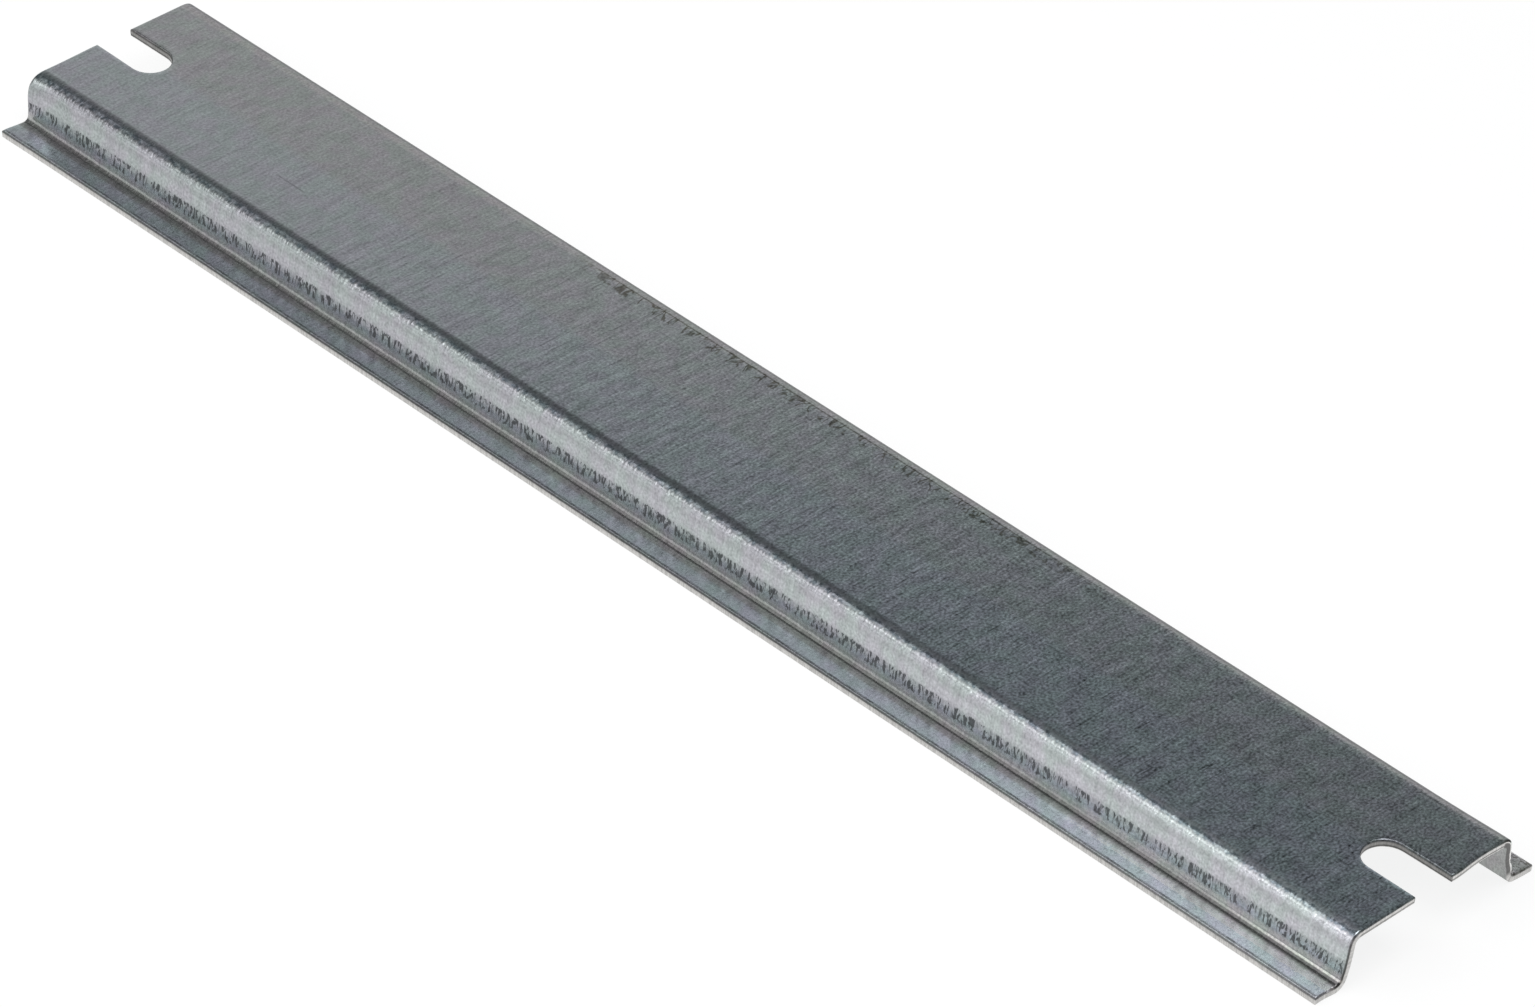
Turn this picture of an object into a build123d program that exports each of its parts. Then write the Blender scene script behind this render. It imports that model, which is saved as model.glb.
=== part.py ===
# Top-hat mounting rail, 35 mm wide and 7.5 mm high, roll-formed from 1 mm steel strip.
# The rail lies crown up with its two flanges on the floor.
# X runs along the rail, Y across it and Z up. The origin is on the floor at mid-length.
import os
from math import radians, tan

from build123d import *

# Section of the rail, 35 mm wide over its flanges
rail_length = 220.0
rail_height = 7.5
sheet_thickness = 1.0
crown_width = 27.0
flange_reach = 4.0
wall_lean = 8.0
inside_bend_radius = 0.6

# Slot in the crown, open at the rail's end
slot_width = 5.5
slot_depth = 9.6

# Rounding that shears, punch and slitter draw down on the upper side of every cut edge
cut_edge_radius = 0.25

# The walls lean outwards, and the crown's width is taken across them at half the height
half_height = rail_height / 2
crown_corner_y = crown_width / 2 - half_height * tan(radians(wall_lean))
foot_corner_y = crown_width / 2 + (half_height - sheet_thickness) * tan(radians(wall_lean))
flange_edge_y = crown_width / 2 + flange_reach
outside_bend_radius = inside_bend_radius + sheet_thickness

with BuildPart() as rail:
    # The sheet's upper face is drawn from the middle to one edge, and the sheet lies under it
    with BuildSketch(Plane.YZ) as section:
        with BuildLine() as upper_face:
            FilletPolyline(
                (0, rail_height),
                (crown_corner_y, rail_height),
                (foot_corner_y, sheet_thickness),
                (flange_edge_y, sheet_thickness),
                radius=(outside_bend_radius, inside_bend_radius),
            )
            offset(amount=sheet_thickness, side=Side.RIGHT)
        make_face()
        mirror(about=Plane.YZ)
    extrude(amount=rail_length / 2, both=True)

    # Each slot is centred on the rail's end, so half of it is open
    with BuildSketch(Plane.XY.offset(rail_height)) as slots:
        with Locations((-rail_length / 2, 0), (rail_length / 2, 0)):
            SlotOverall(2 * slot_depth, slot_width)
    extrude(amount=-sheet_thickness, mode=Mode.SUBTRACT)

    # Cut faces stand upright, so an edge they share with an upward face is a cut edge's upper side
    upper_edges = rail.faces().filter_by(lambda face: face.normal_at().Z > 0.01).edges()
    cut_edges = rail.faces().filter_by(lambda face: abs(face.normal_at().Z) < 0.01).edges()
    fillet(upper_edges.filter_by(lambda edge: edge in cut_edges), cut_edge_radius)

rail.part.label = "din_rail"
os.makedirs("parts", exist_ok=True)
export_step(rail.part, "parts/din_rail.step")
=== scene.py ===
from math import cos, pi, radians, sin, tan

import bpy
import numpy as np
from mathutils import Matrix, Vector


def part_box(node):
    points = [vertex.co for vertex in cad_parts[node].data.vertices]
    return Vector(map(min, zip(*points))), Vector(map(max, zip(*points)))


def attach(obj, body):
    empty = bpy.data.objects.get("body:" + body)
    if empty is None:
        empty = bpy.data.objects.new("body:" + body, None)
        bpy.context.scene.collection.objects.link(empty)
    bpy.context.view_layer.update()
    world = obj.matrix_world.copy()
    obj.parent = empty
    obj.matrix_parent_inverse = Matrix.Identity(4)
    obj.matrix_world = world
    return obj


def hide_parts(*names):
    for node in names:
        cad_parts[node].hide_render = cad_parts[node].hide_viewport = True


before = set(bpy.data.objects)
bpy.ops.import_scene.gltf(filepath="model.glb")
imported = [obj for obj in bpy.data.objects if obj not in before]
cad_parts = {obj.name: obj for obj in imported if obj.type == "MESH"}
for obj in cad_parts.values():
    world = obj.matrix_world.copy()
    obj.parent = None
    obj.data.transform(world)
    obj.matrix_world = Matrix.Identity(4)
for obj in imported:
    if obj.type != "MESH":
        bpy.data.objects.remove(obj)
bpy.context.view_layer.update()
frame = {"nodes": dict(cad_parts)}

print("frame loaded:", ", ".join(frame["nodes"]))


# A socket with arithmetic: an expression on values adds its Math nodes
class Value:
    def __init__(self, recipe, socket):
        self.recipe = recipe
        self.socket = socket

    def math(self, operation, *others):
        inputs = dict(enumerate([self, *others]))
        return self.recipe.node("ShaderNodeMath", {"operation": operation}, inputs)

    def __add__(self, other):
        return self.math("ADD", other)

    def __radd__(self, other):
        return self.math("ADD", other)

    def __sub__(self, other):
        return self.math("SUBTRACT", other)

    def __rsub__(self, other):
        return (self * -1.0).math("ADD", other)

    def __mul__(self, other):
        return self.math("MULTIPLY", other)

    def __rmul__(self, other):
        return self.math("MULTIPLY", other)

    def __truediv__(self, other):
        return self.math("DIVIDE", other)

    # 0 below low, 1 above high, and smooth between
    def between(self, low, high):
        ramp = {"interpolation_type": "SMOOTHSTEP"}
        return self.recipe.node("ShaderNodeMapRange", ramp, {0: self, 1: low, 2: high})

    # 1 from low to high and 0 outside, with edges that are smooth over soft to either side
    def within(self, low, high, soft):
        return self.between(low - soft, low + soft) * (1.0 - self.between(high - soft, high + soft))


# A node tree that grows one node at a time: settings first, then the sockets' values or links
class Recipe:
    def __init__(self, tree):
        self.tree = tree
        tree.nodes.clear()

    def node(self, kind, settings=None, inputs=None, output=0):
        made = self.tree.nodes.new(kind)
        for name, setting in (settings or {}).items():
            if name == "stops":
                self.setStops(made.color_ramp, setting)
            else:
                setattr(made, name, setting)
        for name, given in (inputs or {}).items():
            if isinstance(given, Value):
                self.tree.links.new(given.socket, made.inputs[name])
            else:
                made.inputs[name].default_value = given
        return Value(self, made.outputs[output]) if made.outputs else made

    def setStops(self, ramp, stops):
        while len(ramp.elements) < len(stops):
            ramp.elements.new(0.5)
        for element, (place, colour) in zip(ramp.elements, stops):
            element.position = place
            element.color = colour

    def ramp(self, value, stops):
        return self.node("ShaderNodeValToRGB", {"stops": stops}, {0: value})

    def mixColour(self, factor, first, second, blend="MIX"):
        settings = {"data_type": "RGBA", "blend_type": blend}
        return self.node("ShaderNodeMix", settings, {0: factor, 6: first, 7: second}, output=2)

    def timesColour(self, colour, other):
        return self.mixColour(1.0, colour, other, "MULTIPLY")

    def timesNumber(self, colour, number):
        inputs = {0: colour, "Scale": number}
        return self.node("ShaderNodeVectorMath", {"operation": "SCALE"}, inputs)

    # Noise whose unit has the given size along each axis
    def noise(self, place, size, distortion=0.0):
        scale = tuple(1.0 / s for s in size)
        inputs = {0: place, 1: scale}
        stretched = self.node("ShaderNodeVectorMath", {"operation": "MULTIPLY"}, inputs)
        inputs = {"Vector": stretched, "Scale": 1.0, "Detail": 2.0, "Roughness": 0.5}
        inputs["Distortion"] = distortion
        return self.node("ShaderNodeTexNoise", {}, inputs)

    # The place stored on the sheet, then its parts: along, across and drop, in millimetres
    def flatPlace(self):
        place = self.node("ShaderNodeAttribute", {"attribute_name": "flatPlace"}, output="Vector")
        split = [self.node("ShaderNodeSeparateXYZ", {}, {0: place}, output=k) for k in "XYZ"]
        return place, *split


def newMaterial(name):
    material = bpy.data.materials.new(name)
    material.use_nodes = True
    return material, Recipe(material.node_tree)


def opaque(colour):
    return (*colour, 1.0)


# Rail: one sheet, cut flat and bent. Lengths in metres, angles in degrees.
railLow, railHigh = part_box("din_rail")
rail = {
    "length": railHigh[0] - railLow[0],
    "width": railHigh[1] - railLow[1],
    "height": railHigh[2] - railLow[2],
    "sheet": 0.001,
    "crownWidth": 0.027,
    "wallLean": 8.0,
    "insideBend": 0.0006,
    "slotWidth": 0.0055,
    "slotDepth": 0.0096,
    "cutEdgeRadius": 0.00025,
    "fractureStart": 0.3,  # share of the cut face above its torn part
    "fractureSetBack": 0.00004,
    "columnSpacing": 0.0008,
    "stationCounts": (13, 11, 5, 9, 5),  # crown, bend, wall, bend at the foot, flange
    "slotBlend": 0.007,
    "slotColumns": 16,
    "slotRows": 24,
    "edgeRings": 4,
    "cutRings": 4,
    "sharpAngle": 50.0,
    # Dents that the cutting left at the ends: where each is along and across the flat pattern, how
    # far it reaches both ways, and how far it pushes the sheet along X, Y and Z
    "dents": [
        ((-0.110, -0.0146), (0.0024, 0.0026), (-0.0001, -0.0006, 0.0)),
        ((-0.110, -0.0190), (0.0040, 0.0024), (-0.0002, 0.0, 0.0001)),
        ((-0.110, -0.0222), (0.0050, 0.0020), (-0.0006, -0.0001, 0.0)),
        ((-0.110, -0.0035), (0.0080, 0.0030), (-0.0001, 0.0002, 0.0)),
        ((0.110, -0.0215), (0.0060, 0.0032), (-0.0005, 0.0, 0.0)),
        ((0.110, 0.0186), (0.0060, 0.0020), (-0.0002, 0.0, 0.0)),
        ((0.110, 0.0180), (0.0120, 0.0014), (0.0, 0.0005, 0.0)),
        ((0.110, 0.0125), (0.0060, 0.0025), (0.0002, 0.0002, 0.0)),
        ((0.110, 0.0035), (0.0080, 0.0030), (0.0003, 0.0002, 0.0)),
    ],
}
tiny = 1e-9  # metres, for places that should be equal
tableSteps = 8000
bendSamples = 2000

bendTurn = radians(90.0 - rail["wallLean"])
leanSlope = tan(radians(rail["wallLean"]))
crownCorner = rail["crownWidth"] / 2 - rail["height"] / 2 * leanSlope
footCorner = rail["crownWidth"] / 2 + (rail["height"] / 2 - rail["sheet"]) * leanSlope
wallLength = (rail["height"] - rail["sheet"]) / sin(bendTurn)


# 0 below 0, 1 above 1, and eased between: s * s * (3 - 2 s)
def eased(s):
    s = np.clip(s, 0.0, 1.0)
    return s * s * (3.0 - 2.0 * s)


# Width of an eased bend whose tightest radius is given, and the length from its end to its corner.
# Its slope is bendTurn * eased(s), which turns fastest half way, 1.5 times as fast as on average.
def easedBend(radius):
    width = 1.5 * radius * bendTurn
    slope = bendTurn * eased((np.arange(bendSamples) + 0.5) / bendSamples)
    corner = width * (np.cos(slope).mean() - np.sin(slope).mean() / tan(bendTurn))
    return width, corner


upperBendWidth, upperCorner = easedBend(rail["insideBend"] + rail["sheet"])
lowerBendWidth, lowerCorner = easedBend(rail["insideBend"])
# Where each stretch of the sheet's upper face begins, counted across from the middle
upperBendStart = crownCorner - upperCorner
wallStart = upperBendStart + upperBendWidth
lowerBendStart = wallStart + wallLength - upperCorner - lowerCorner
flangeStart = lowerBendStart + lowerBendWidth
flatHalfWidth = flangeStart + rail["width"] / 2 - footCorner - lowerCorner

# Half section of the upper face: its slope, and the sums of the slope's cosine and sine
acrossTable = np.linspace(0.0, flatHalfWidth, tableSteps + 1)
slopeTable = eased((acrossTable - upperBendStart) / upperBendWidth)
slopeTable = bendTurn * (slopeTable - eased((acrossTable - lowerBendStart) / lowerBendWidth))
middleSlope = (slopeTable[1:] + slopeTable[:-1]) / 2
yTable = np.append(0.0, np.cumsum(np.cos(middleSlope))) * acrossTable[1]
zTable = rail["height"] - np.append(0.0, np.cumsum(np.sin(middleSlope))) * acrossTable[1]


# Bends the flat pattern: the half section read at |across|, with lift along its normal
# (sin slope, cos slope)
def bendSheet(along, across, lift):
    t = np.abs(across)
    slope = np.interp(t, acrossTable, slopeTable)
    y = np.interp(t, acrossTable, yTable) + lift * np.sin(slope)
    z = np.interp(t, acrossTable, zTable) + lift * np.cos(slope)
    return np.stack([along, np.sign(across) * y, z], axis=-1)


# Places along one side of the sheet, spaced more closely in the bends
def sideStations():
    starts = [rail["slotWidth"] / 2, upperBendStart, wallStart, lowerBendStart, flangeStart]
    ends = [*starts[1:], flatHalfWidth]
    counts = rail["stationCounts"]
    runs = [np.linspace(a, b, n, endpoint=False) for a, b, n in zip(starts, ends, counts)]
    return np.append(np.concatenate(runs), flatHalfWidth)


# The flat pattern as rows across and columns along, drawn in from its whole outline by inset.
# Between the slot's sides a column is pushed inwards by R cos(a), for the row at R sin(a), so that
# the first column there is the slot's round end, and the push fades out over the slot blend.
def flatPattern(inset):
    slotRadius = rail["slotWidth"] / 2
    slotCentre = rail["length"] / 2 - rail["slotDepth"] + slotRadius
    middle = int(round(2 * slotCentre / rail["columnSpacing"]))
    middleRun = np.linspace(-slotCentre, slotCentre, middle + 1)
    endRun = np.linspace(slotCentre, rail["length"] / 2, rail["slotColumns"] + 1)[1:]
    columns = np.concatenate([-endRun[::-1], middleRun, endRun])
    side = sideStations()
    angles = np.linspace(-pi / 2, pi / 2, rail["slotRows"] + 1)
    rows = np.concatenate([-side[::-1], slotRadius * np.sin(angles[1:-1]), side])
    push = np.concatenate([np.zeros(len(side)), np.cos(angles[1:-1]), np.zeros(len(side))])

    radius = slotRadius + inset
    rows = np.where(np.abs(rows) < slotRadius + tiny, rows * radius / slotRadius, rows)
    rows = np.clip(rows, inset - flatHalfWidth, flatHalfWidth - inset)
    columns = np.clip(columns, inset - rail["length"] / 2, rail["length"] / 2 - inset)
    along, across = np.meshgrid(columns, rows)
    fade = eased(1.0 - (slotCentre - np.abs(columns)) / rail["slotBlend"])
    fade = fade * (np.abs(columns) <= slotCentre + tiny)
    along -= np.sign(columns) * fade * push[:, None] * radius
    return along, across


# The outline of the flat pattern as places in its grid, once round and anticlockwise from above
def outlinePlaces(rowCount, columnCount):
    firstRow = len(sideStations()) - 1
    lastRow = firstRow + rail["slotRows"]
    topRow, endColumn = rowCount - 1, columnCount - 1
    left, right = rail["slotColumns"], endColumn - rail["slotColumns"]
    corners = [
        (0, 0), (0, endColumn), (firstRow, endColumn), (firstRow, right), (lastRow, right),
        (lastRow, endColumn), (topRow, endColumn), (topRow, 0), (lastRow, 0), (lastRow, left),
        (firstRow, left), (firstRow, 0), (0, 0),
    ]
    runs = []
    for (rowA, columnA), (rowB, columnB) in zip(corners, corners[1:]):
        steps = max(abs(rowB - rowA), abs(columnB - columnA))
        rows = np.linspace(rowA, rowB, steps, endpoint=False).round().astype(int)
        columns = np.linspace(columnA, columnB, steps, endpoint=False).round().astype(int)
        runs.append(rows * columnCount + columns)
    return np.concatenate(runs)


# Cells of the grid as corner places, without those that the slots take out
def sheetCells(rowCount, columnCount):
    firstRow = len(sideStations()) - 1
    lastRow = firstRow + rail["slotRows"]
    rows, columns = np.meshgrid(np.arange(rowCount - 1), np.arange(columnCount - 1), indexing="ij")
    inSlotRows = (rows >= firstRow) & (rows < lastRow)
    atLeft = columns < rail["slotColumns"]
    atRight = columns >= columnCount - 1 - rail["slotColumns"]
    corner = (rows * columnCount + columns)[~(inSlotRows & (atLeft | atRight))]
    return np.stack([corner, corner + 1, corner + columnCount + 1, corner + columnCount], axis=-1)


# Shallow waves left by the rolling. Lengths in metres.
waves = {
    "seed": 7,
    "count": 40,
    "shortest": 0.0022,
    "longest": 0.012,
    "steepness": 0.0022,
    "spread": 0.12,  # how far the crests stray from straight across
}


# Sum of cosines, each as high as its steepness over its wave number, by the root of their count
def sheetWaves(along, across):
    random = np.random.default_rng(waves["seed"])
    lift = np.zeros_like(along)
    for _ in range(waves["count"]):
        length = waves["shortest"] * (waves["longest"] / waves["shortest"]) ** random.random()
        turn = random.normal(0.0, waves["spread"])
        phase = random.uniform(0.0, 2.0 * pi)
        number = 2.0 * pi / length
        lift += waves["steepness"] / number * np.cos(number * (along + turn * across) + phase)
    return lift / waves["count"] ** 0.5


# A dent fades as exp(-(distance / reach) squared), along the sheet and across it
def dented(points, along, across):
    for at, reach, push in rail["dents"]:
        distance = (along - at[0]) / reach[0]
        aside = (across - at[1]) / reach[1]
        points = points + np.exp(-distance**2 - aside**2)[:, None] * np.array(push)
    return points


# The sheet as one closed skin: upper face, rounded edge, cut face and underside
def makeRail():
    radius = rail["cutEdgeRadius"]
    along, across = flatPattern(radius)
    rowCount, columnCount = along.shape
    outline = outlinePlaces(rowCount, columnCount)
    cells = sheetCells(rowCount, columnCount)

    rings = []  # inset and drop of each ring from the upper face down to the underside
    for angle in np.linspace(0.0, pi / 2, rail["edgeRings"] + 1)[1:]:
        rings.append((radius * (1.0 - sin(angle)), radius * (1.0 - cos(angle))))
    for share in np.linspace(0.0, 1.0, rail["cutRings"] + 1)[1:-1]:
        torn = max(0.0, share - rail["fractureStart"]) / (1.0 - rail["fractureStart"])
        rings.append((rail["fractureSetBack"] * torn, radius + share * (rail["sheet"] - radius)))

    stacks = [(along.ravel(), across.ravel(), np.zeros(along.size))]
    loops = [outline]
    count = along.size
    for inset, drop in rings:
        ringAlong, ringAcross = (a.ravel()[outline] for a in flatPattern(inset))
        stacks.append((ringAlong, ringAcross, np.full(len(outline), drop)))
        loops.append(count + np.arange(len(outline)))
        count += len(outline)
    underAlong, underAcross = (a.ravel() for a in flatPattern(rail["fractureSetBack"]))
    stacks.append((underAlong, underAcross, np.full(underAlong.size, rail["sheet"])))
    loops.append(count + outline)

    flatAlong, flatAcross, drop = (np.concatenate(parts) for parts in zip(*stacks))
    points = bendSheet(flatAlong, flatAcross, sheetWaves(flatAlong, flatAcross) - drop)
    points = dented(points, flatAlong, flatAcross)
    faces = [cells, cells[:, ::-1] + count]
    for upper, lower in zip(loops, loops[1:]):
        faces.append(np.stack([lower, np.roll(lower, -1), np.roll(upper, -1), upper], axis=-1))
    cutFaces = sum(len(f) for f in faces[2 + rail["edgeRings"]:])
    faces = np.concatenate(faces)
    isCut = np.arange(len(faces)) >= len(faces) - cutFaces

    used, renumbered = np.unique(faces, return_inverse=True)
    faces = renumbered.reshape(faces.shape)
    mesh = bpy.data.meshes.new("din_rail_sheet")
    mesh.vertices.add(len(used))
    mesh.vertices.foreach_set("co", points[used].ravel())
    mesh.loops.add(faces.size)
    mesh.loops.foreach_set("vertex_index", faces.ravel().astype(np.int32))
    mesh.polygons.add(len(faces))
    mesh.polygons.foreach_set("loop_start", np.arange(0, faces.size, 4, dtype=np.int32))
    mesh.polygons.foreach_set("material_index", isCut.astype(np.int32))
    mesh.update()
    mesh.validate()
    place = mesh.attributes.new("flatPlace", "FLOAT_VECTOR", "POINT")
    inMillimetres = np.stack([flatAlong, flatAcross, drop], axis=-1)[used] * 1000.0
    place.data.foreach_set("vector", inMillimetres.ravel())
    mesh.shade_smooth()
    mesh.set_sharp_from_angle(angle=radians(rail["sharpAngle"]))

    piece = bpy.data.objects.new("din_rail_sheet", mesh)
    bpy.context.scene.collection.objects.link(piece)
    mesh.materials.append(zincFinish())
    mesh.materials.append(cutFinish())
    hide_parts("din_rail")
    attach(piece, "root")
    print("rail:", len(faces), "faces")


# Zinc-plated sheet. Places and sizes in millimetres on the flat pattern, along the rail and across
# it from the middle. Depths are in micrometres.
zinc = {
    "colour": (0.455, 0.472, 0.482),
    "greenTint": (0.96, 1.015, 0.985),
    "lilacTint": (1.02, 0.98, 1.03),
    "leftTint": (1.01, 0.99, 0.975),
    "rightTint": (0.965, 1.03, 1.06),
    "edgeTint": 0.7,
    "roughness": 0.14,
    "blotchSize": (3.2, 3.6, 1.0),
    "clusterSize": (1.5, 2.6, 1.0),
    "grainSize": (0.30, 0.38, 1.0),
    "strokeSize": (0.42, 5.5, 1.0),
    "rippleSize": (1.1, 6.0, 1.0),
    "crackSize": (0.38, 1.3, 1.0),
    "veinSize": (1.5, 3.0, 1.0),
    "rippleDistortion": 0.3,
    "veinDistortion": 0.8,
    "grainDepth": 7.0,
    "strokeDepth": 8.0,
    "rippleDepth": 26.0,
    "crackDepth": 30.0,
    # How strongly each pattern shades: what the crown's right end adds, and what it has everywhere
    "grainShade": (1.5, 1.0),
    "strokeShade": (0.5, 0.45),
    "clusterShade": (0.6, 0.3),
    "streakShade": (0.28, 0.26),  # on the near side, and on both
    # Painted light the near side gains rightwards, and what is taken off it, by stretch
    "wallGain": 0.18,
    "bendGain": (0.56, 0.40),
    "underBendGain": (0.34, 0.04),
    "flangeGain": (0.62, 0.24),
    "footLoss": 0.22,
    "flangeEndGain": 1.05,
    # Roughness that each feature adds
    "grainRoughness": 0.08,
    "fleckRoughness": 0.2,
    "bendRoughness": 0.06,
    "lipRoughness": 0.35,
    "flangeRoughness": 0.10,
    # What each mark multiplies the colour by
    "marks": {
        "blobs": (0.50, 0.54, 0.56),
        "glints": (1.5, 1.5, 1.5),
        "flecks": (0.30, 0.30, 0.30),
        "dashes": (0.5, 0.5, 0.5),
        "footHighlight": (2.3, 2.3, 2.2),
        "mottling": (0.45, 0.44, 0.41),
        "veins": (0.42, 0.40, 0.35),
        "fineLine": (0.58, 0.57, 0.54),
        "scratch": (0.72, 0.72, 0.72),
        "lip": (0.30, 0.29, 0.28),
        "farWallLipHighlight": (3.4, 3.4, 3.3),
        "underside": (0.78, 0.77, 0.73),
    },
    # Spots: size along and across, the noise values between which a spot fades in, and how much
    # that noise is distorted
    "spots": {
        "blobs": ((0.9, 0.7), 0.46, 0.56, 0.0),
        "glints": ((0.34, 0.34), 0.58, 0.66, 0.0),
        "flecks": ((0.40, 1.3), 0.47, 0.55, 0.8),
        "fleckGroups": ((1.1, 8.0), 0.38, 0.48, 0.0),
        "dashes": ((1.4, 4.0), 0.45, 0.60, 0.0),
        "mottling": ((0.6, 0.45), 0.45, 0.6, 0.6),
        "veinGroups": ((1.3, 5.0), 0.36, 0.48, 0.0),
    },
    # Rows: from where to where each lies across the sheet, and how soft its edges are
    "rows": {
        "bendEdge": (12.0, 13.2, 0.2),
        "fleckEdge": (15.6, 16.4, 0.1),
        "wall": (13.5, 16.0, 0.3),
        "bend": (11.1, 12.75, 0.2),
        "underBend": (12.75, 13.5, 0.15),
        "foot": (17.3, 18.5, 0.15),
        "flangeEnd": (19.5, 20.6, 0.15),
        "blobs": (11.95, 12.6, 0.12),
        "glints": (12.65, 13.25, 0.15),
        "flecks": (16.02, 17.55, 0.12),
        "dashes": (21.93, 22.08, 0.04),
        "footHighlight": (18.42, 18.74, 0.05),
        "veins": (9.7, 11.3, 0.15),
        "fineLine": (11.10, 11.32, 0.05),
        "scratch": (4.55, 4.78, 0.06),
        "farWall": (13.0, 18.2, 0.3),
        "upperBend": (11.4, 13.8, 0.4),
        "footBend": (18.4, 19.6, 0.2),
    },
    "scratchRun": (-74.2, -69.0, 0.3),  # along the rail
    # Fades: from where to where each rises from 0 to 1
    "fades": {
        "crownEdge": (11.2, 12.0),  # these five across the sheet
        "flange": (19.2, 20.2),
        "mottling": (18.6, 19.0),
        "roughFlange": (19.0, 19.8),
        "farSide": (-1.0, 1.0),
        "underside": (0.3, 0.7),  # these two by drop below the upper face
        "lip": (0.0, 0.08),
        "crownRightwards": (-80.0, 70.0),  # these eight along the rail
        "rightwards": (10.0, 115.0),
        "wholeLength": (-110.0, 110.0),
        "pastLeftEnd": (-110.0, -45.0),
        "rightEnd": (50.0, 110.0),
        "footHighlight": (84.0, 108.0),
        "cracksStart": (-40.0, -28.0),
        "cracksEnd": (35.0, 60.0),
        "blotch": (0.35, 0.65),  # these three by the noise's value
        "streaks": (0.57, 0.66),
        "veins": (0.015, 0.060),
    },
    "raggedness": (0.9, 0.3, 0.08),  # of the bands' edges: at the bend, at the flecks, elsewhere
    "fleckWander": 0.8,
    "bandSpan": 24.0,
    # Bands of painted light and shade across the sheet: millimetres across, how light, and how warm
    "nearPaintedLight": [
        (11.4, 1.05, -0.03), (12.05, 1.50, -0.05), (12.35, 0.74, -0.05), (12.65, 0.56, -0.01),
        (12.95, 0.90, 0.0), (13.2, 1.08, 0.0), (13.55, 0.98, 0.0), (13.75, 0.85, 0.0),
        (14.0, 0.82, 0.0), (14.4, 0.89, 0.0), (14.8, 0.98, 0.0), (15.75, 0.95, 0.0),
        (16.0, 0.86, 0.0), (16.2, 0.76, -0.01), (16.8, 0.78, -0.01), (17.3, 0.80, -0.01),
        (17.8, 0.76, 0.02), (18.1, 0.88, 0.03), (18.45, 0.92, 0.04), (18.62, 0.80, 0.04),
        (18.76, 0.26, 0.04), (18.95, 0.24, 0.04), (19.2, 0.62, 0.04), (20.0, 0.98, 0.03),
        (20.3, 1.40, -0.02), (20.9, 1.38, -0.03), (21.4, 1.24, -0.035), (21.85, 1.28, -0.035),
        (21.98, 1.05, -0.03), (22.1, 1.25, -0.02),
    ],
    "farPaintedLight": [
        (10.6, 1.0, 0.0), (10.95, 1.12, 0.02), (11.4, 1.05, 0.03), (11.8, 0.84, 0.03),
        (12.2, 0.42, 0.02), (12.6, 0.38, 0.02), (13.3, 0.85, 0.0), (15.9, 0.88, 0.0),
        (16.2, 0.72, 0.0), (17.9, 0.74, 0.02), (18.3, 0.55, 0.03), (19.0, 1.8, 0.03),
    ],
}


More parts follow.
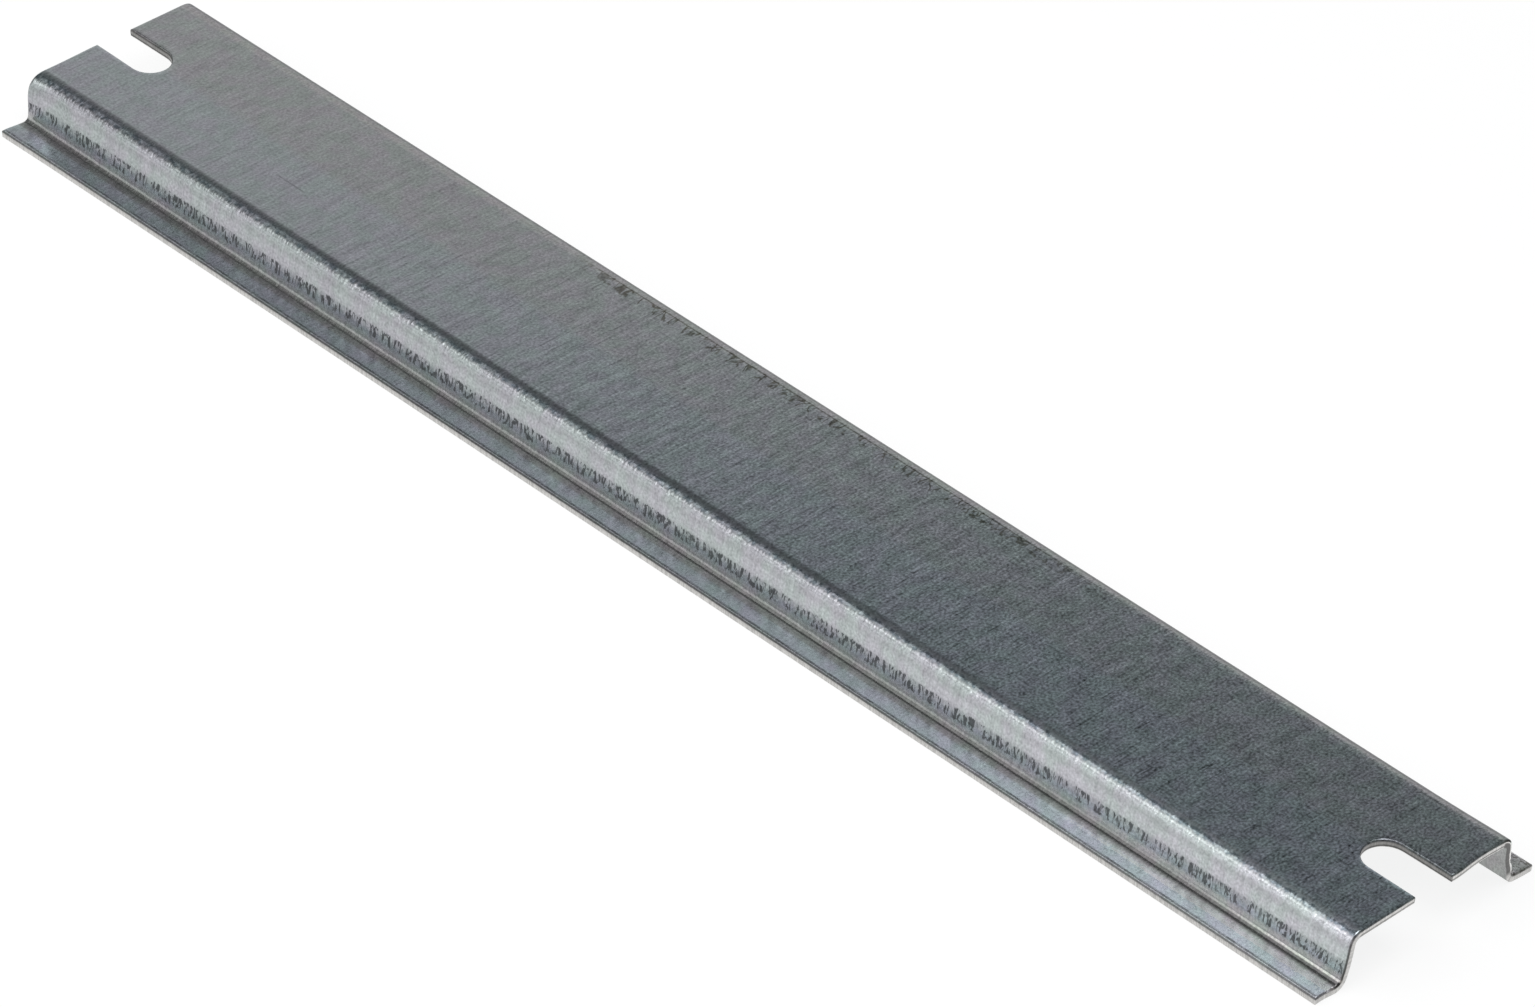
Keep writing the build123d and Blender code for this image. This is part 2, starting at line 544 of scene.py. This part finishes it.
def zincFinish():
    material, recipe = newMaterial("zincSheet")
    place, along, signedAcross, drop = recipe.flatPlace()
    across = signedAcross.math("ABSOLUTE")

    def fade(value, name):
        return value.between(*zinc["fades"][name])

    def row(value, name):
        return value.within(*zinc["rows"][name])

    def spots(name):
        size, low, high, distortion = zinc["spots"][name]
        return recipe.noise(place, (*size, 1.0), distortion).between(low, high)

    # Shades by a pattern, more strongly towards the crown's right end
    def shaded(pattern, name):
        rightwardShade, baseShade = zinc[name]
        return (pattern - 0.5) * (crownRightwards * rightwardShade + baseShade)

    # Each mark tints or darkens the colour by its own mask
    def marked(colour, mask, name):
        tinted = recipe.timesColour(colour, opaque(zinc["marks"][name]))
        return recipe.mixColour(mask, colour, tinted)

    # A colour that runs over the bands across the sheet
    def banded(name, value):
        stops = []
        for mm, light, warm in zinc[name]:
            tint = (light * (1.0 + warm), light, light * (1.0 - warm))
            stops.append((mm / zinc["bandSpan"], opaque(tint)))
        return recipe.ramp(value / zinc["bandSpan"], stops)

    underside = fade(drop, "underside")
    upperFace = 1.0 - underside
    farSide = fade(signedAcross, "farSide")
    nearSide = 1.0 - farSide
    grain = recipe.noise(place, zinc["grainSize"])
    stroke = recipe.noise(place, zinc["strokeSize"])
    cluster = recipe.noise(place, zinc["clusterSize"])
    crack = recipe.noise(place, zinc["crackSize"])
    ripple = recipe.noise(place, zinc["rippleSize"], zinc["rippleDistortion"])
    blotch = fade(recipe.noise(place, zinc["blotchSize"]), "blotch")
    onCrown = 1.0 - fade(across, "crownEdge")
    crownRightwards = fade(along, "crownRightwards") * onCrown

    # Grain, streaks and clusters grow stronger towards the right end of the crown
    colour = recipe.mixColour(blotch, opaque(zinc["greenTint"]), opaque(zinc["lilacTint"]))
    colour = recipe.timesColour(colour, opaque(zinc["colour"]))
    slate = recipe.mixColour(crownRightwards, opaque(zinc["leftTint"]), opaque(zinc["rightTint"]))
    colour = recipe.mixColour(onCrown, colour, recipe.timesColour(colour, slate))
    nearStreak, streakShade = zinc["streakShade"]
    streaks = fade(stroke, "streaks") * crownRightwards * (nearSide * nearStreak + streakShade)
    shade = 1.0 + shaded(grain, "grainShade") + shaded(stroke, "strokeShade")
    shade = shade + shaded(cluster, "clusterShade") - streaks
    colour = recipe.timesNumber(colour, shade)

    # Painted light and shade in bands across the sheet, ragged at the bend and above the flecks
    atBend, atFlecks, elsewhere = zinc["raggedness"]
    ragged = row(across, "bendEdge") * atBend + row(across, "fleckEdge") * atFlecks + elsewhere
    jagged = across + (crack - 0.5) * ragged
    paintedLightBands = recipe.mixColour(farSide, banded("nearPaintedLight", jagged), banded("farPaintedLight", across))
    colour = recipe.mixColour(upperFace, colour, recipe.timesColour(colour, paintedLightBands))

    # Painted light: the near side grows lighter rightwards, most in its bend and on the flange
    rightwards = fade(along, "rightwards")
    paintedLight = row(across, "wall") * (fade(along, "wholeLength") - 0.5)
    paintedLight = paintedLight * zinc["wallGain"]
    lighter, taken = zinc["bendGain"]
    paintedLight = paintedLight + row(jagged, "bend") * (rightwards * lighter - taken)
    lighter, taken = zinc["underBendGain"]
    paintedLight = paintedLight + row(across, "underBend") * (rightwards * lighter - taken)
    lighter, taken = zinc["flangeGain"]
    pastLeftEnd = fade(along, "pastLeftEnd")
    paintedLight = paintedLight + fade(across, "flange") * (rightwards * lighter - pastLeftEnd * taken)
    paintedLight = paintedLight - row(across, "foot") * rightwards * zinc["footLoss"]
    atRightEnd = fade(along, "rightEnd")
    paintedLight = paintedLight + row(across, "flangeEnd") * atRightEnd * zinc["flangeEndGain"]
    colour = recipe.timesNumber(colour, 1.0 + paintedLight * nearSide * upperFace)

    # Painted shade in blobs and painted highlights in glints, in the near bend
    blobs = spots("blobs") * row(jagged, "blobs") * nearSide
    colour = marked(colour, blobs, "blobs")
    glints = spots("glints") * row(across, "glints") * nearSide
    colour = marked(colour, glints, "glints")
    # Painted shade in flecks in the walls, where the wall's reflection breaks up
    flecks = spots("flecks") * spots("fleckGroups")
    fleckRow = row(across + (stroke - 0.5) * zinc["fleckWander"], "flecks")
    flecks = flecks * fleckRow * upperFace
    colour = marked(colour, flecks, "flecks")
    # Dashes near the flanges' edges
    dashes = spots("dashes") * row(across, "dashes") * upperFace
    colour = marked(colour, dashes, "dashes")

    # A painted highlight line in the foot's bend near the right end, and the far flange's mottling
    footHighlight = row(across, "footHighlight") * fade(along, "footHighlight")
    colour = marked(colour, footHighlight * nearSide * upperFace, "footHighlight")
    mottling = spots("mottling") * fade(across, "mottling")
    colour = marked(colour, mottling * farSide * upperFace, "mottling")

    # Short cracks hang from a fine line along the middle of the far edge
    cracked = fade(along, "cracksStart") * (1.0 - fade(along, "cracksEnd"))
    cracked = cracked * farSide * upperFace
    veins = (recipe.noise(place, zinc["veinSize"], zinc["veinDistortion"]) - 0.5).math("ABSOLUTE")
    veins = (1.0 - fade(veins, "veins")) * spots("veinGroups")
    veinRow = row(across + (crack - 0.5), "veins")
    colour = marked(colour, veins * cracked * veinRow, "veins")
    colour = marked(colour, cracked * row(across, "fineLine"), "fineLine")

    # A scratch along the crown, the lip that every cut draws down, and the underside
    scratch = along.within(*zinc["scratchRun"]) * row(across, "scratch")
    colour = marked(colour, scratch * nearSide * upperFace, "scratch")
    lip = fade(drop, "lip") * upperFace
    farWall = row(signedAcross, "farWall")
    colour = marked(colour, lip * (1.0 - farWall), "lip")
    # Painted highlight on the far wall's lip
    colour = marked(colour, lip * farWall, "farWallLipHighlight")
    # Painted shade: the underside is made darker and warmer
    colour = marked(colour, underside, "underside")

    inBends = row(across, "upperBend") + row(across, "footBend")
    height = grain * zinc["grainDepth"] + stroke * zinc["strokeDepth"]
    height = height + ripple * zinc["rippleDepth"] + crack * inBends * zinc["crackDepth"]
    bump = recipe.node("ShaderNodeBump", {}, {"Height": height, "Distance": 1e-6, "Strength": 1.0})
    roughness = grain * zinc["grainRoughness"] + flecks * zinc["fleckRoughness"]
    roughness = roughness + inBends * zinc["bendRoughness"] + lip * zinc["lipRoughness"]
    roughness = roughness + fade(across, "roughFlange") * zinc["flangeRoughness"]
    surface = recipe.node("ShaderNodeBsdfPrincipled", {}, {
        "Base Color": colour,
        "Metallic": 1.0,
        "Roughness": roughness + zinc["roughness"],
        "Specular Tint": opaque((zinc["edgeTint"],) * 3),
        "Normal": bump,
    })
    recipe.node("ShaderNodeOutputMaterial", {}, {"Surface": surface})
    return material


# Cut faces. Each list of stops gives brightness by depth below the upper face in millimetres.
cutSteel = {
    # Crown's ends: dark lip, bright sheared band, dark torn part and a bright burr
    "crownStops": [
        (0.25, 0.13), (0.33, 0.74), (0.64, 0.72), (0.72, 0.22), (0.82, 0.25), (0.90, 0.66),
    ],
    "endStops": [(0.25, 0.16), (0.38, 0.62), (0.84, 0.66), (0.96, 0.62)],  # walls and flanges
    "farWallStops": [(0.34, 0.90), (0.42, 0.17), (0.92, 0.14), (1.0, 0.20)],  # bright lip, dark
    # Slots: dark, darkest in the torn part, with a bright burr
    "slotStops": [
        (0.25, 0.22), (0.45, 0.34), (0.66, 0.30), (0.76, 0.12), (0.90, 0.14), (0.97, 0.60),
    ],
    "slitStops": [(0.25, 0.16), (0.40, 0.19), (0.90, 0.30), (1.0, 0.26)],  # long edges
    "tint": (1.0, 0.985, 0.96),
    "streakTint": (0.05, 0.05, 0.05),
    "streakShare": 0.3,
    "streakFade": (0.35, 0.65),  # by the noise's value
    "streakSize": (0.15, 0.15, 2.0),
    "streakDepth": 0.000008,
    "raggedSize": (0.6, 0.6, 0.5),
    "raggedReach": 0.12,
    # Where one list of stops gives way to the next, in millimetres across the sheet
    "crownFrom": (2.85, 2.95),
    "wallsFrom": (11.6, 12.2),
    "longEdgesFrom": (22.35, 22.45),
    "farWallFrom": (11.4, 12.0),
    "farWallTo": (18.0, 18.6),
    "roughness": 0.42,
}


def cutFinish():
    material, recipe = newMaterial("cutSteel")
    place, _, signedAcross, drop = recipe.flatPlace()
    across = signedAcross.math("ABSOLUTE")
    streaks = recipe.noise(place, cutSteel["streakSize"])
    ragged = (recipe.noise(place, cutSteel["raggedSize"]) - 0.5) * cutSteel["raggedReach"]
    depth = drop + ragged

    def banded(name):
        stops = []
        for mm, share in cutSteel[name]:
            stops.append((mm, opaque(share * c for c in cutSteel["tint"])))
        return recipe.ramp(depth, stops)

    crown = across.between(*cutSteel["crownFrom"])
    walls = across.between(*cutSteel["wallsFrom"])
    longEdges = across.between(*cutSteel["longEdgesFrom"])
    farWall = signedAcross.between(*cutSteel["farWallFrom"])
    farWall = farWall * (1.0 - signedAcross.between(*cutSteel["farWallTo"]))
    colour = recipe.mixColour(crown, banded("slotStops"), banded("crownStops"))
    colour = recipe.mixColour(walls, colour, banded("endStops"))
    colour = recipe.mixColour(longEdges, colour, banded("slitStops"))
    colour = recipe.mixColour(farWall, colour, banded("farWallStops"))
    streaked = streaks.between(*cutSteel["streakFade"]) * cutSteel["streakShare"]
    colour = recipe.mixColour(streaked, colour, opaque(cutSteel["streakTint"]))
    inputs = {"Height": streaks, "Distance": cutSteel["streakDepth"], "Strength": 1.0}
    bump = recipe.node("ShaderNodeBump", {}, inputs)
    surface = recipe.node("ShaderNodeBsdfPrincipled", {}, {
        "Base Color": colour,
        "Metallic": 1.0,
        "Roughness": cutSteel["roughness"],
        "Normal": bump,
    })
    recipe.node("ShaderNodeOutputMaterial", {}, {"Surface": surface})
    return material


# Floor: it glows to the camera and in the metal's reflections, and still shows the rail's shadow
floor = {
    "halfSize": 3.0,
    "gap": 0.00003,
    "colour": (0.22, 0.22, 0.22),
    "glow": (1.0, 1.0, 1.0),
    "ownLight": 0.84,
    "roughness": 0.9,
}


def makeFloor():
    h, z = floor["halfSize"], -floor["gap"]
    mesh = bpy.data.meshes.new("floor")
    mesh.from_pydata([(-h, -h, z), (h, -h, z), (h, h, z), (-h, h, z)], [], [(0, 1, 2, 3)])
    material, recipe = newMaterial("paleFloor")
    seen = recipe.node("ShaderNodeLightPath", output="Is Camera Ray")
    glossy = recipe.node("ShaderNodeLightPath", output="Is Glossy Ray")
    passing = recipe.node("ShaderNodeLightPath", output="Is Transmission Ray")
    surface = recipe.node("ShaderNodeBsdfPrincipled", {}, {
        "Base Color": opaque(floor["colour"]),
        "Roughness": floor["roughness"],
        "Emission Color": opaque(floor["glow"]),
        "Emission Strength": (seen + glossy + passing) * floor["ownLight"],
    })
    recipe.node("ShaderNodeOutputMaterial", {}, {"Surface": surface})
    mesh.materials.append(material)
    piece = bpy.data.objects.new("floor", mesh)
    bpy.context.scene.collection.objects.link(piece)
    print("floor made")


# Room: brightness of what surrounds the rail, by elevation in degrees above the horizon
room = {
    "brightness": [(0.0, 0.6), (20.0, 0.44), (32.0, 0.28), (42.0, 0.17), (90.0, 0.17)],
    "tint": (0.97, 0.99, 1.0),
}


def makeRoom():
    world = bpy.data.worlds.new("room")
    bpy.context.scene.world = world
    world.use_nodes = True
    recipe = Recipe(world.node_tree)
    direction = recipe.node("ShaderNodeTexCoord", output="Generated")
    up = recipe.node("ShaderNodeSeparateXYZ", {}, {0: direction}, output="Z")
    stops = []
    for elevation, brightness in room["brightness"]:
        stops.append((sin(radians(elevation)), opaque(brightness * c for c in room["tint"])))
    inputs = {"Color": recipe.ramp(up, stops), "Strength": 1.0}
    light = recipe.node("ShaderNodeBackground", {}, inputs)
    recipe.node("ShaderNodeOutputWorld", {}, {"Surface": light})
    print("room made")


# Unit vector towards a place seen from the rail. Azimuth 0 is in front of it (-Y), 90 to its
# right (+X).
def towards(azimuth, elevation):
    a, e = radians(azimuth), radians(elevation)
    return Vector((sin(a) * cos(e), -cos(a) * cos(e), sin(e)))


# Lights: softboxes that face the rail. Each row has azimuth and elevation in degrees, width and
# height in metres, and the brightness of its face, where 1 is white.
lights = {
    "distance": 0.6,
    "softboxes": {
        "keySoftbox": (-19.0, 49.0, 0.66, 0.44, 1.55),
        "topSoftbox": (90.0, 72.0, 0.36, 0.36, 2.3),
        "backPanel": (224.0, 20.5, 0.80, 0.35, 0.275),
        "frontPanel": (-26.0, 15.0, 0.50, 0.22, 0.5),
        "leftPanel": (290.0, 40.0, 0.30, 0.36, 0.38),
    },
}


# The power that gives a face of this area this brightness is brightness * pi * area
def addSoftboxes():
    for name, (azimuth, elevation, width, height, brightness) in lights["softboxes"].items():
        light = bpy.data.lights.new(name, "AREA")
        light.shape = "RECTANGLE"
        light.size, light.size_y = width, height
        light.energy = brightness * pi * light.size * light.size_y
        lamp = bpy.data.objects.new(name, light)
        place = towards(azimuth, elevation) * lights["distance"]
        lamp.location = place
        lamp.rotation_euler = (-place).to_track_quat("-Z", "Y").to_euler()
        lamp.visible_camera = False
        bpy.context.scene.collection.objects.link(lamp)
    print("lights:", len(lights["softboxes"]))


# Camera, as fitted to the photograph. Angles in degrees, lengths in metres.
cameraPlace = {
    "azimuth": 43.915,
    "elevation": 36.811,
    "roll": 2.97,
    "distance": 0.927845,
    "aside": 0.004757,
    "above": -0.002207,
    "focalPixels": 7927.605,
    "photoWidth": 1535,  # pixels
    "sensor": 36.0,  # millimetres
    "nearest": 0.01,
}


# The camera looks back along the direction given by its azimuth and elevation, rolled about it
def makeCamera():
    azimuth, roll = radians(cameraPlace["azimuth"]), radians(cameraPlace["roll"])
    back = towards(cameraPlace["azimuth"], cameraPlace["elevation"])
    level = Vector((cos(azimuth), sin(azimuth), 0.0))
    steep = back.cross(level)
    right = cos(roll) * level + sin(roll) * steep
    above = -sin(roll) * level + cos(roll) * steep
    camera = bpy.data.cameras.new("camera")
    camera.sensor_width = cameraPlace["sensor"]
    camera.lens = cameraPlace["focalPixels"] / cameraPlace["photoWidth"] * cameraPlace["sensor"]
    camera.clip_start = cameraPlace["nearest"]
    viewer = bpy.data.objects.new("camera", camera)
    turn = Matrix((right, above, back)).transposed().to_4x4()
    place = right * cameraPlace["aside"] + above * cameraPlace["above"]
    place = place + back * cameraPlace["distance"]
    viewer.matrix_world = Matrix.Translation(place) @ turn
    bpy.context.scene.collection.objects.link(viewer)
    bpy.context.scene.camera = viewer
    print("camera set")


makeCamera()
makeRail()
makeFloor()
makeRoom()
addSoftboxes()
bpy.context.scene.view_settings.view_transform = "Standard"
print("scene set")
